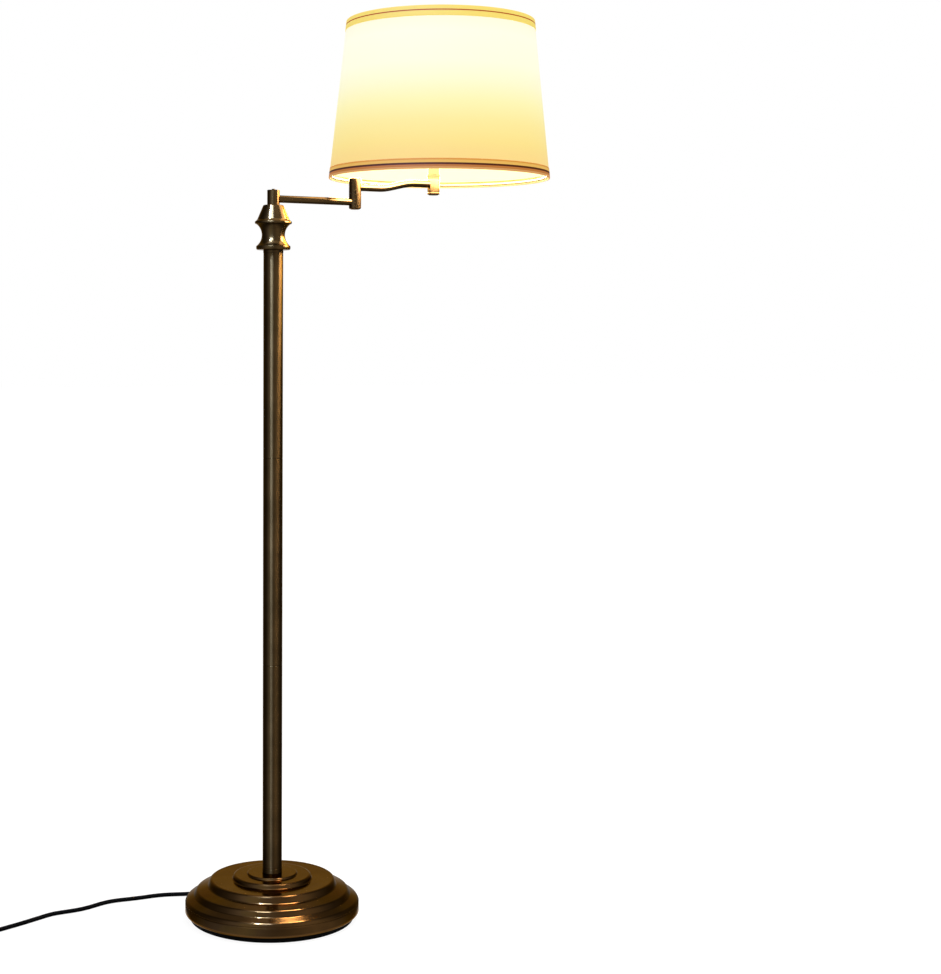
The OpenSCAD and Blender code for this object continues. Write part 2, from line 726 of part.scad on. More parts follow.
module bulb_base() {
    ridges = [for (k = [0:24]) [bulb_r - 0.35 + 0.35 * cos(k * 90), 6 + k * 0.65]];
    color(steel) translate([socket_x, 0, bulb_seat]) rotate_extrude($fn = small)
        polygon(concat([[0, 0], [4, 0], [5, 1.5], [bulb_r - 2, 5]], ridges,
            [[bulb_r - 0.4, bulb_screw_h], [0, bulb_screw_h]]));
}

// Half outline of the globe, from its neck to its crown, drawn in by w
function globe(w) =
    let (r = bulb_d / 2 - w, low = 34, mid = 51)
    concat([[12.4 - w, 0.1], [12.8 - w, 6], [15.2 - w, 16]],
        [for (k = [0:18]) let (a = -35 + 125 * k / 18) [r * cos(a), mid + r * sin(a)]]);

module bulb_globe() {
    inside = globe(0.8);
    color(glass) translate([socket_x, 0, globe_z]) rotate_extrude($fn = fine)
        polygon(concat(globe(0), [for (k = [len(inside) - 1:-1:0]) inside[k]]));
}

module switch_key() {
    color(dark) translate([socket_x, 0, key_z]) rotate([0, -90, 0]) {
        cylinder(r = key_r, h = socket_r + 4, $fn = small);
        translate([0, 0, socket_r + 2]) difference() {
            cylinder(r = 5.2, h = 11, $fn = small);
            for (a = [0:45:315]) rotate([0, 0, a]) translate([5.8, 0, 2])
                cylinder(r = 1.1, h = 10, $fn = 16);
        }
    }
}

// ---------------------------------------------------------------- shade

module cone_band(z0, z1, outer, inner) {
    translate([stud_x, 0, shade_z]) rotate_extrude($fn = fine)
        polygon([[shade_r(z0) + inner, z0], [shade_r(z0) + outer, z0],
            [shade_r(z1) + outer, z1], [shade_r(z1) + inner, z1]]);
}

module shade_cover() {
    color(cream) cone_band(0, shade_h, 0, -fabric_t);
}

module shade_trims() {
    color(gold) {
        cone_band(0, trim_w, trim_t, snug);
        cone_band(shade_h - trim_w, shade_h, trim_t, snug);
    }
}

module wire_hoop(z) {
    r = shade_r(z) - fabric_t - wire_half - clear / 2;
    translate([stud_x, 0, shade_z + z]) rotate_extrude($fn = fine)
        translate([r, 0]) circle(r = wire_half, $fn = 16);
}

module shade_frame() {
    ring_z = shade_h - 3;
    ring_r = shade_r(ring_z) - fabric_t - wire_half - clear / 2;
    washer_z = seat_z + clear;
    climb = shade_z + ring_z - washer_z - spider_t / 2;
    spoke = norm([ring_r - 9, climb]);
    color(steel) {
        wire_hoop(4);
        wire_hoop(ring_z);
        translate([stud_x, 0, 0]) {
            pipe(11, stud_r + clear, washer_z, washer_z + spider_t);
            for (a = [60:120:300])
                rotate([0, 0, a]) translate([9, 0, washer_z + spider_t / 2])
                    rotate([0, atan2(ring_r - 9, climb), 0])
                        cylinder(r = wire_half - 0.2, h = spoke, $fn = 16);
        }
    }
}

// ---------------------------------------------------------------- lead

module stand_wire() {
    low = pad_h + channel_h / 2;
    color(dark) swept([out_at(relief_in - 0.1, outlet_z), out_at(relief_in - 2, outlet_z),
        out_at(relief_in - 8, outlet_z + 1.2), out_at(relief_in - 16, outlet_z + 4.8),
        out_at(groove_in + 2, low), out_at(16, low), out_at(9, low + 1), out_at(4, low + 4),
        out_at(1, low + 7.5), [0, 0, low + 11], [0, 0, seam_1], [0, 0, seam_2],
        [0, 0, lower_z + floor_t + 7.8]], wire_r, [sin(cord_angle), -cos(cord_angle), 0], 8);
}

module inner_arm_wire() {
    start = lower_z + floor_t + 11;
    color(dark) swept([[-1, 0, start], [1.5, 0, start - 0.2], [4, 0, start - 0.7], [7, 0, start - 2.4],
        [10.5, 0, arm_z + 0.5], [18, 0, arm_z], [link_l - 18, 0, arm_z], [link_l - 11, 0, arm_z - 0.4],
        [link_l - 7.5, 0, arm_z - 1], [link_l - 4.5, 0, arm_z - 1.4], [link_l - 2.2, 0, arm_z - 0.7],
        [link_l - 0.6, 0, arm_z + 1.1], [link_l, 0, arm_z + 3.3], [link_l, 0, elbow_nut_z - 1.2]],
        wire_r, [0, 1, 0], 8);
}

module outer_arm_wire() {
    head = upper_z + floor_t + 2;
    color(dark) swept([[link_l, 0, elbow_nut_z], [link_l, 0, head], [link_l + 1.5, 0, outer_z - 2],
        [link_l + 6, 0, outer_z], for (x = bend_x) [x, 0, outer_z + s_rise(x)],
        [socket_x - 8, 0, end_z], [socket_x - 2.5, 0, end_z + 1.5], [socket_x, 0, end_z + 6],
        [socket_x, 0, saddle_top + 11]], wire_r, [0, 1, 0], 8);
}

module cord() {
    color(dark) swept(concat([tip], cord_route), cord_r, [0, 0, 1], 10);
}

module cord_coil() {
    half = coil_rings * cord_d / 2;
    top = coil_layers * cord_d;
    color(dark) translate([coil_at[0], coil_at[1], 0])
        turned([[coil_mid_r - half, 0, cord_r - 0.2], [coil_mid_r + half, 0, cord_r - 0.2],
            [coil_mid_r + half, top, cord_r - 0.2], [coil_mid_r - half, top, cord_r - 0.2]]);
}

module cord_tie() {
    wide = 8;
    tie_t = 0.8;
    reach = coil_rings * cord_d + 2 * tie_t;
    top = coil_layers * cord_d + tie_t;
    color(dark) translate([coil_at[0], coil_at[1], 0]) rotate([0, 0, 60])
        translate([coil_mid_r - reach / 2, -wide / 2, 0]) difference() {
            cube([reach, wide, top]);
            translate([tie_t, -1, tie_t]) cube([reach - 2 * tie_t, wide + 2, top - 2 * tie_t]);
        }
}

module cord_tail() {
    color(dark) swept(tail_route, cord_r, [0, 0, 1], 10);
}

module plug_body() {
    tail_end = tail_route[len(tail_route) - 1];
    color(dark) translate([tail_end[0], tail_end[1], plug_t / 2]) rotate([-90, 0, 0]) {
        cylinder(r1 = cord_r + 0.6, r2 = cord_r + 2.2, h = plug_neck, $fn = small);
        translate([0, 0, plug_neck]) linear_extrude(plug_l) polygon(rounded([
            [-plug_w / 2, -plug_t / 2, 3.5], [plug_w / 2, -plug_t / 2, 3.5],
            [plug_w / 2, plug_t / 2, 3.5], [-plug_w / 2, plug_t / 2, 3.5]]));
    }
}

module plug_blades() {
    tail_end = tail_route[len(tail_route) - 1];
    face_y = tail_end[1] + plug_neck + plug_l;
    color(brass) for (s = [-1, 1])
        translate([tail_end[0] + s * 6.35 - 0.75, face_y, plug_t / 2 - 3.15]) cube([1.5, blade_l, 6.3]);
}

base_cover();
base_weight();
base_pad();
cord_relief();
base_rod();
base_washer();
base_nut();
pole_foot();
pole_lower();
pole_middle();
pole_upper();
pole_inserts();
pole_nipples();
pole_collar();
neck_spool();
neck_bell();
neck_rod();
column_spindle();
column_washer();
column_nut();
stand_wire();
cord();
cord_coil();
cord_tie();
cord_tail();
plug_body();
plug_blades();
column_knuckle();
column_cap();
inner_arm_tube();
elbow_lower_knuckle();
elbow_bottom_cap();
inner_arm_wire();
elbow_upper_knuckle();
elbow_top_cap();
elbow_spindle();
elbow_washer();
elbow_nut();
outer_arm_tube();
shade_knuckle();
knuckle_bead();
neck_ring();
socket_neck();
socket_rod();
outer_arm_wire();
harp_saddle();
harp_bow();
harp_sleeves();
harp_stud();
finial();
socket_cap();
socket_shell();
socket_core();
bulb_base();
bulb_globe();
switch_key();
shade_cover();
shade_frame();
shade_trims();
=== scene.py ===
"""Swing-arm floor lamp with a lit fabric shade: camera, lead, shade, finishes and a pale studio.

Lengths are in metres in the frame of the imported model: the pole stands on the Z axis, the floor is
z = 0 and the straight arm points along +X.
"""

from __future__ import annotations

import json
import logging
import math
from collections.abc import Callable, Sequence
from dataclasses import dataclass
from enum import Enum

import bpy
from mathutils import Matrix, Vector

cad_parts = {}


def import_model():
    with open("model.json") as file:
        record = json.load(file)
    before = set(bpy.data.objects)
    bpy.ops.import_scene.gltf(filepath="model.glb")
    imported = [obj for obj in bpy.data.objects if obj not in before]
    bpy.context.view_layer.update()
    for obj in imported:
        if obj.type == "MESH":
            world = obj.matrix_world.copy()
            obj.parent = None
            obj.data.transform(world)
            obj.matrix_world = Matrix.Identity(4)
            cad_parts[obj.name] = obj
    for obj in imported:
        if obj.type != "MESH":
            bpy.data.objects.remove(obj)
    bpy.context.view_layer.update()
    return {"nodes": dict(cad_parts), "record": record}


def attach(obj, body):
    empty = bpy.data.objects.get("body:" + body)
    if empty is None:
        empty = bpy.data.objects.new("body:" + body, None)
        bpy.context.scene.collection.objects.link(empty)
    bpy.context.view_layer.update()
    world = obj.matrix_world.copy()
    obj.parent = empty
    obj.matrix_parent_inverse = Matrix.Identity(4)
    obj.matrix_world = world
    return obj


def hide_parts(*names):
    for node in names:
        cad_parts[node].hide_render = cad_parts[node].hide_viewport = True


LOG = logging.getLogger("floor_lamp")
MM = 0.001
DISPLAY_WHITE = 255.0

Colour = tuple[float, float, float]
Point = tuple[float, float, float]
Profile = Sequence[tuple[float, float]]


class Body(str, Enum):
    """Moving bodies of the lamp that pieces ride on."""

    STAND = "stand"
    SHADE = "shade"


class Turning(Enum):
    """Upright axis round which a metal piece was brushed, or a cloth piece lies, as X and Y."""

    POLE = (0.0, 0.0)
    ELBOW = (0.140, 0.0)
    SOCKET = (0.280, 0.0)
    SHADE = (0.290, 0.0)


def linear(red: int, green: int, blue: int) -> Colour:
    """Turn a display colour into a linear one.

    Args:
        red: Red from 0 to 255.
        green: Green from 0 to 255.
        blue: Blue from 0 to 255.

    Returns:
        The colour's three linear parts from 0 to 1.
    """

    def part(value: int) -> float:
        """Linear value of one display channel."""
        v = value / DISPLAY_WHITE
        return v / 12.92 if v <= 0.04045 else ((v + 0.055) / 1.055) ** 2.4

    return part(red), part(green), part(blue)


# ------------------------------------------------------------------ shader graphs


class Graph:
    """Node tree of a material or a world, built with short calls."""

    def __init__(self, tree: bpy.types.NodeTree) -> None:
        """Empty the tree.

        Args:
            tree: The node tree to fill.
        """
        self.tree = tree
        tree.nodes.clear()

    def node(
        self, kind: str, inputs: dict[str | int, object] | None = None, **settings: object
    ) -> bpy.types.Node:
        """Add a node.

        Args:
            kind: Blender's type name of the node.
            inputs: Values or sockets for the node's inputs, by name or number.
            settings: Attributes of the node itself.

        Returns:
            The new node.
        """
        made = self.tree.nodes.new(kind)
        for name, value in settings.items():
            setattr(made, name, value)
        for key, value in (inputs or {}).items():
            socket = made.inputs[key]
            if isinstance(value, bpy.types.NodeSocket):
                self.tree.links.new(value, socket)
            elif socket.type == "RGBA" and isinstance(value, tuple):
                socket.default_value = (*value, 1.0)[:4]
            else:
                socket.default_value = value
        return made

    def maths(self, operation: str, *values: object) -> bpy.types.NodeSocket:
        """Result of a Math node.

        Args:
            operation: The node's operation, such as "ADD".
            values: One to three numbers or sockets.

        Returns:
            The node's output.
        """
        return self.node("ShaderNodeMath", dict(enumerate(values)), operation=operation).outputs[0]

    def ramp(
        self,
        factor: bpy.types.NodeSocket,
        stops: Sequence[tuple[float, Colour]],
        interpolation: str = "LINEAR",
    ) -> bpy.types.NodeSocket:
        """Colour looked up along a ramp.

        Args:
            factor: Where to look, from 0 to 1.
            stops: Place and linear colour of each stop.
            interpolation: How the ramp blends between its stops.

        Returns:
            The ramp's colour.
        """
        made = self.node("ShaderNodeValToRGB", {0: factor})
        made.color_ramp.interpolation = interpolation
        elements = made.color_ramp.elements
        while len(elements) < len(stops):
            elements.new(1.0)
        for element, (place, colour) in zip(elements, stops):
            element.position = place
            element.color = (*colour, 1.0)
        return made.outputs[0]

    def blend(self, factor: object, first: object, second: object) -> bpy.types.NodeSocket:
        """Mix of two colours.

        Args:
            factor: Share of the second colour.
            first: Colour or socket at 0.
            second: Colour or socket at 1.

        Returns:
            The mixed colour.
        """
        made = self.node("ShaderNodeMix", data_type="RGBA")
        for number, value in ((0, factor), (6, first), (7, second)):
            if isinstance(value, bpy.types.NodeSocket):
                self.tree.links.new(value, made.inputs[number])
            else:
                made.inputs[number].default_value = (*value, 1.0) if isinstance(value, tuple) else value
        return made.outputs[2]

    def noise(self, vector: bpy.types.NodeSocket, scale: float, detail: float = 3.0) -> bpy.types.NodeSocket:
        """Value of a noise texture.

        Args:
            vector: Where the noise is read.
            scale: Size of its grain, larger is finer.
            detail: Number of finer layers.

        Returns:
            The noise from 0 to 1.
        """
        made = self.node("ShaderNodeTexNoise", {"Vector": vector, "Scale": scale, "Detail": detail})
        return made.outputs[0]

    def vector(self, x: object, y: object, z: object) -> bpy.types.NodeSocket:
        """Vector put together from three numbers or sockets."""
        return self.node("ShaderNodeCombineXYZ", {0: x, 1: y, 2: z}).outputs[0]

    def place(self) -> tuple[bpy.types.NodeSocket, bpy.types.Node]:
        """Position in the object's own frame, as a vector and as a node with X, Y and Z outputs."""
        vector = self.node("ShaderNodeTexCoord").outputs["Object"]
        return vector, self.node("ShaderNodeSeparateXYZ", {0: vector})

    def glossy(self) -> bpy.types.NodeSocket:
        """Whether the ray at hand is a reflection in polished metal: 1 if it is, else 0."""
        return self.node("ShaderNodeLightPath").outputs["Is Glossy Ray"]

    def mirrored(self, plain: float, mirrored: float) -> bpy.types.NodeSocket:
        """Strength of a light as it is seen, and as polished metal mirrors it.

        Args:
            plain: Strength seen by the eye.
            mirrored: Strength seen in a reflection.

        Returns:
            The strength for the ray at hand.
        """
        return self.maths("MULTIPLY_ADD", self.glossy(), mirrored - plain, plain)

    def bump(self, height: bpy.types.NodeSocket, distance: float, strength: float) -> bpy.types.NodeSocket:
        """Normal bent by a height.

        Args:
            height: Height from 0 to 1.
            distance: Real height of 1, in metres.
            strength: Share of the effect.

        Returns:
            The bent normal.
        """
        return self.node(
            "ShaderNodeBump", {"Height": height, "Distance": distance, "Strength": strength}
        ).outputs[0]

    def seen(self) -> bpy.types.NodeSocket:
        """Whether the ray at hand shows a background: 1 when seen, mirrored or seen through glass."""
        path = self.node("ShaderNodeLightPath")
        seen = self.maths("MAXIMUM", path.outputs["Is Camera Ray"], path.outputs["Is Glossy Ray"])
        return self.maths("MAXIMUM", seen, path.outputs["Is Transmission Ray"])

    def polar(
        self, centre: tuple[float, float]
    ) -> tuple[bpy.types.NodeSocket, bpy.types.NodeSocket, bpy.types.NodeSocket]:
        """Position round an upright axis.

        Args:
            centre: X and Y of the axis.

        Returns:
            Radius, angle in radians and height.
        """
        _, xyz = self.place()
        dx = self.maths("SUBTRACT", xyz.outputs[0], centre[0])
        dy = self.maths("SUBTRACT", xyz.outputs[1], centre[1])
        squares = self.maths("ADD", self.maths("MULTIPLY", dx, dx), self.maths("MULTIPLY", dy, dy))
        return self.maths("SQRT", squares), self.maths("ARCTAN2", dy, dx), xyz.outputs[2]


def material(name: str) -> tuple[bpy.types.Material, Graph]:
    """Make an empty material.

    Args:
        name: The material's name.

    Returns:
        The material and its graph.
    """
    made = bpy.data.materials.new(name)
    made.use_nodes = True
    return made, Graph(made.node_tree)


def unsampled(made: bpy.types.Material) -> bpy.types.Material:
    """Keep a wide, soft glow from being sampled as a lamp, and return the material."""
    made.cycles.emission_sampling = "NONE"
    return made


def output(graph: Graph, surface: bpy.types.NodeSocket) -> None:
    """Connect a shader to the material's output."""
    graph.node("ShaderNodeOutputMaterial", {"Surface": surface})


# ------------------------------------------------------------------ finishes


@dataclass(frozen=True)
class BrushedBronze:
    """Antique bronze plate, brushed in fine rings round a turning axis, or lengthways on a tube."""

    name: str = "antique_bronze"
    axis: Turning = Turning.POLE
    deep: Colour = linear(66, 50, 28)
    bright: Colour = linear(86, 65, 38)
    roughness: float = 0.26
    anisotropy: float = 0.9
    rotation: float = 0.25
    edge_tint: Colour = (0.60, 0.48, 0.37)
    lacquer: float = 0.03
    lacquer_roughness: float = 0.06
    ring_grain: float = 2600.0
    length_grain: float = 2400.0
    scratch_spread: float = 1.3
    patina_grain: float = 26.0
    patina_share: float = 0.7
    wear: float = 0.06
    scratch_depth: float = 0.003 * MM
    scratch_strength: float = 0.12
    lengthways: bool = False

    def make(self) -> bpy.types.Material:
        """Build the material.

        Returns:
            The finished material.
        """
        made, g = material(self.name)
        vector, xyz = g.place()
        radius, angle, height = g.polar(self.axis.value)
        if self.lengthways:
            along = g.maths("MULTIPLY", xyz.outputs[0], self.length_grain)
            rings = g.vector(along, xyz.outputs[1], xyz.outputs[2])
        else:
            rings = g.vector(
                g.maths("MULTIPLY", radius, self.ring_grain),
                g.maths("MULTIPLY", angle, self.scratch_spread),
                g.maths("MULTIPLY", height, self.ring_grain),
            )
        fine = g.noise(rings, 1.0, 2.0)
        broad = g.noise(vector, self.patina_grain, 4.0)
        mix = g.maths(
            "ADD",
            g.maths("MULTIPLY", fine, 1.0 - self.patina_share),
            g.maths("MULTIPLY", broad, self.patina_share),
        )
        colour = g.ramp(mix, [(0.34, self.deep), (0.66, self.bright)])
        worn = g.maths("MULTIPLY_ADD", broad, self.wear, self.roughness - self.wear / 2)
        shader = g.node(
            "ShaderNodeBsdfPrincipled",
            {
                "Base Color": colour,
                "Metallic": 1.0,
                "Roughness": worn,
                "Anisotropic": self.anisotropy,
                "Anisotropic Rotation": self.rotation,
                "Specular Tint": self.edge_tint,
                "Normal": g.bump(fine, self.scratch_depth, self.scratch_strength),
                "Tangent": g.node("ShaderNodeTangent", direction_type="RADIAL", axis="Z").outputs[0],
                "Coat Weight": self.lacquer,
                "Coat Roughness": self.lacquer_roughness,
            },
        )
        output(g, shader.outputs[0])
        return made


@dataclass(frozen=True)
class PlainMetal:
    """Bare or plated metal with faint handling marks."""

    name: str
    colour: Colour
    roughness: float = 0.3
    grain: float = 120.0
    spread: float = 0.12
    wear: float = 0.16
    mark_depth: float = 0.02 * MM
    mark_strength: float = 0.4

    def make(self) -> bpy.types.Material:
        """Build the material.

        Returns:
            The finished material.
        """
        made, g = material(self.name)
        vector, _ = g.place()
        marks = g.noise(vector, self.grain, 5.0)
        darker = tuple(c * (1 - self.spread) for c in self.colour)
        smoothest = self.roughness - self.wear / 2
        shader = g.node(
            "ShaderNodeBsdfPrincipled",
            {
                "Base Color": g.ramp(marks, [(0.35, darker), (0.65, self.colour)]),
                "Metallic": 1.0,
                "Roughness": g.maths("MULTIPLY_ADD", marks, self.wear, smoothest),
                "Normal": g.bump(marks, self.mark_depth, self.mark_strength),
            },
        )
        output(g, shader.outputs[0])
        return made


@dataclass(frozen=True)
class BlackPolymer:
    """Black rubber or moulded plastic with a fine moulded grain."""

    name: str
    colour: Colour = linear(14, 13, 13)
    roughness: float = 0.5
    grain: float = 900.0
    depth: float = 0.04 * MM
    specular: float = 0.4
    dust_grain: float = 35.0
    dust_gain: float = 1.8
    dust_lift: float = 0.002
    wear: float = 0.2
    grain_strength: float = 0.5

    def make(self) -> bpy.types.Material:
        """Build the material.

        Returns:
            The finished material.
        """
        made, g = material(self.name)
        vector, _ = g.place()
        grain = g.noise(vector, self.grain, 2.0)
        dust = g.noise(vector, self.dust_grain, 3.0)
        lighter = tuple(min(1.0, c * self.dust_gain + self.dust_lift) for c in self.colour)
        shader = g.node(
            "ShaderNodeBsdfPrincipled",
            {
                "Base Color": g.ramp(dust, [(0.4, self.colour), (0.75, lighter)]),
                "Roughness": g.maths("MULTIPLY_ADD", dust, self.wear, self.roughness - self.wear / 2),
                "Normal": g.bump(grain, self.depth, self.grain_strength),
                "Specular IOR Level": self.specular,
            },
        )
        output(g, shader.outputs[0])
        return made


@dataclass(frozen=True)
class LitLinen:
    """Cream linen with the lamp's light coming through it, brightest near the bulb."""

    name: str
    foot: float
    height: float
    cloth: Colour = linear(214, 190, 132)
    glow: tuple[tuple[float, Colour], ...] = (
        (0.0, (0.60, 0.41, 0.11)),
        (0.10, (0.60, 0.43, 0.12)),
        (0.175, (0.61, 0.49, 0.135)),
        (0.30, (0.62, 0.56, 0.21)),
        (0.42, (0.63, 0.65, 0.34)),
        (0.545, (0.64, 0.70, 0.53)),
        (0.667, (0.66, 0.74, 0.66)),
        (0.85, (0.66, 0.74, 0.71)),
        (1.0, (0.62, 0.68, 0.58)),
    )
    threads: float = 2300.0
    mean_radius: float = 0.165
    weave_share: float = 0.6
    thread_shadow: float = 0.10
    thread_depth: float = 0.15 * MM
    thread_strength: float = 0.35
    hollow_shade: float = 0.94
    slub_round: float = 300.0
    slub_up: float = 60.0
    roughness: float = 0.85
    specular: float = 0.15
    sheen: float = 0.15
    sheen_roughness: float = 0.4
    reflected: Colour = (0.62, 0.54, 0.46)
    reflected_strength: float = 17.0
    centre: tuple[float, float] = Turning.SHADE.value

    def make(self) -> bpy.types.Material:
        """Build the material.

        Returns:
            The finished material.
        """
        made, g = material(self.name)
        radius, angle, z = g.polar(self.centre)
        share = g.maths("DIVIDE", g.maths("SUBTRACT", z, self.foot), self.height)
        across = g.maths("MULTIPLY", g.maths("MULTIPLY", angle, self.mean_radius), self.threads)
        up = g.maths("MULTIPLY", z, self.threads)
        warp = g.maths("ABSOLUTE", g.maths("SINE", across))
        weft = g.maths("ABSOLUTE", g.maths("SINE", up))
        rows = g.maths("MULTIPLY", z, self.slub_up)
        uneven = g.vector(g.maths("MULTIPLY", angle, self.slub_round), 0.0, rows)
        slub = g.noise(uneven, 1.0, 3.0)
        weave = g.maths("MULTIPLY", g.maths("ADD", warp, weft), 0.5)
        thread = g.maths(
            "ADD",
            g.maths("MULTIPLY", weave, self.weave_share),
            g.maths("MULTIPLY", slub, 1.0 - self.weave_share),
        )
        light = g.ramp(share, self.glow)
        shaded = g.blend(g.maths("MULTIPLY", thread, self.thread_shadow), light, (0.0, 0.0, 0.0))
        shader = g.node(
            "ShaderNodeBsdfPrincipled",
            {
                "Base Color": g.blend(thread, tuple(c * self.hollow_shade for c in self.cloth), self.cloth),
                "Roughness": self.roughness,
                "Specular IOR Level": self.specular,
                "Sheen Weight": self.sheen,
                "Sheen Roughness": self.sheen_roughness,
                "Emission Color": g.blend(g.glossy(), shaded, self.reflected),
                "Emission Strength": g.mirrored(1.0, self.reflected_strength),
                "Normal": g.bump(thread, self.thread_depth, self.thread_strength),
            },
        )
        output(g, shader.outputs[0])
        return unsampled(made)


@dataclass(frozen=True)
class LitRibbon:
    """Woven ribbon in bands across its width, lit from behind."""

    name: str
    foot: float
    height: float
    bands: tuple[tuple[float, Colour], ...]
    glow: float = 0.25
    ribs: float = 420.0
    rib_depth: float = 0.2 * MM
    rib_strength: float = 0.5
    rib_shadow: Colour = (0.02, 0.01, 0.0)
    shadow_share: float = 0.12
    yarn_round: float = 90.0
    yarn_up: float = 900.0
    wobble: float = 0.02

    def make(self) -> bpy.types.Material:
        """Build the material.

        Returns:
            The finished material.
        """
        made, g = material(self.name)
        _, angle, z = g.polar(Turning.SHADE.value)
        share = g.maths("DIVIDE", g.maths("SUBTRACT", z, self.foot), self.height)
        ribs = g.maths("ABSOLUTE", g.maths("SINE", g.maths("MULTIPLY", angle, self.ribs)))
        yarn = g.vector(g.maths("MULTIPLY", angle, self.yarn_round), 0.0, g.maths("MULTIPLY", z, self.yarn_up))
        uneven = g.maths("SUBTRACT", g.noise(yarn, 1.0, 2.0), 0.5)
        wobble = g.maths("ADD", share, g.maths("MULTIPLY", uneven, self.wobble))
        colour = g.ramp(wobble, self.bands)
        shader = g.node(
            "ShaderNodeBsdfPrincipled",
            {
                "Base Color": g.blend(g.maths("MULTIPLY", ribs, self.shadow_share), colour, self.rib_shadow),
                "Roughness": 0.65,
                "Specular IOR Level": 0.12,
                "Sheen Weight": 0.04,
                "Sheen Roughness": 0.35,
                "Emission Color": colour,
                "Emission Strength": self.glow,
                "Normal": g.bump(ribs, self.rib_depth, self.rib_strength),
            },
        )
        output(g, shader.outputs[0])
        return made


@dataclass(frozen=True)
class Glowing:
    """Frosted glass or lining that gives off the lamp's light, stronger in a mirror than as it is seen."""

    name: str
    colour: Colour
    glow: Colour
    strength: float
    mirrored: float
    specular: float = 0.5
    reflected: Colour = (1.0, 0.87, 0.74)
    frost_grain: float = 700.0
    frost_depth: float = 0.03 * MM
    frost_strength: float = 0.3
    smoothest: float = 0.35
    unevenness: float = 0.2

    def make(self) -> bpy.types.Material:
        """Build the material.

        Returns:
            The finished material.
        """
        made, g = material(self.name)
        vector, _ = g.place()
        frost = g.noise(vector, self.frost_grain, 2.0)
        shader = g.node(
            "ShaderNodeBsdfPrincipled",
            {
                "Base Color": self.colour,
                "Roughness": g.maths("MULTIPLY_ADD", frost, self.unevenness, self.smoothest),
                "Specular IOR Level": self.specular,
                "Emission Color": g.blend(g.glossy(), self.glow, self.reflected),
                "Emission Strength": g.mirrored(self.strength, self.mirrored),
                "Normal": g.bump(frost, self.frost_depth, self.frost_strength),
            },
        )
        output(g, shader.outputs[0])
        return made


# ------------------------------------------------------------------ meshes


def lathe(name: str, profile: Profile, centre: tuple[float, float], steps: int = 160) -> bpy.types.Object:
    """Turn a closed profile round an upright axis.

    Args:
        name: Name of the new object.
        profile: Radius and height of each point, anticlockwise seen with the axis on the left.
        centre: X and Y of the axis.
        steps: Number of stations round the axis.

    Returns:
        The turned object, linked to the scene.
    """
    points: list[Point] = []
    for step in range(steps):
        a = 2 * math.pi * step / steps
        points += [(centre[0] + r * math.cos(a), centre[1] + r * math.sin(a), z) for r, z in profile]
    count = len(profile)
    faces = [
        (
            step * count + i,
            (step + 1) % steps * count + i,
            (step + 1) % steps * count + (i + 1) % count,
            step * count + (i + 1) % count,
        )
        for step in range(steps)
        for i in range(count)
    ]
    return solid(name, points, faces)


def solid(name: str, points: Sequence[Point], faces: Sequence[tuple[int, ...]]) -> bpy.types.Object:
    """Make a smooth mesh object.

    Args:
        name: Name of the new object.
        points: Its vertices.
        faces: Its faces, as vertex numbers.

    Returns:
        The object, linked to the scene.
    """
    mesh = bpy.data.meshes.new(name)
    mesh.from_pydata([tuple(p) for p in points], [], [tuple(f) for f in faces])
    mesh.update()
    mesh.polygons.foreach_set("use_smooth", [True] * len(mesh.polygons))
    made = bpy.data.objects.new(name, mesh)
    bpy.context.scene.collection.objects.link(made)
    return made


def smooth_path(points: Sequence[Vector], spacing: float = 4 * MM) -> list[Vector]:
    """Pass a smooth line through points.

    Args:
        points: Points that the line passes.
        spacing: Rough distance between the line's own points.

    Returns:
        Points along the line, the first and last as given.
    """
    padded = [points[0] * 2 - points[1], *points, points[-1] * 2 - points[-2]]
    line: list[Vector] = []
    for i in range(1, len(padded) - 2):
        a, b, c, d = padded[i - 1 : i + 3]
        pieces = max(1, round((c - b).length / spacing))
        for k in range(pieces):
            t = k / pieces
            bent = (2 * a - 5 * b + 4 * c - d) * t * t + (3 * b - a - 3 * c + d) * t**3
            line.append(0.5 * (2 * b + (c - a) * t + bent))
    line.append(points[-1].copy())
    return line


def dress(obj: bpy.types.Object, finish: bpy.types.Material) -> None:
    """Give an object one material."""
    obj.data.materials.clear()
    obj.data.materials.append(finish)


# ------------------------------------------------------------------ camera


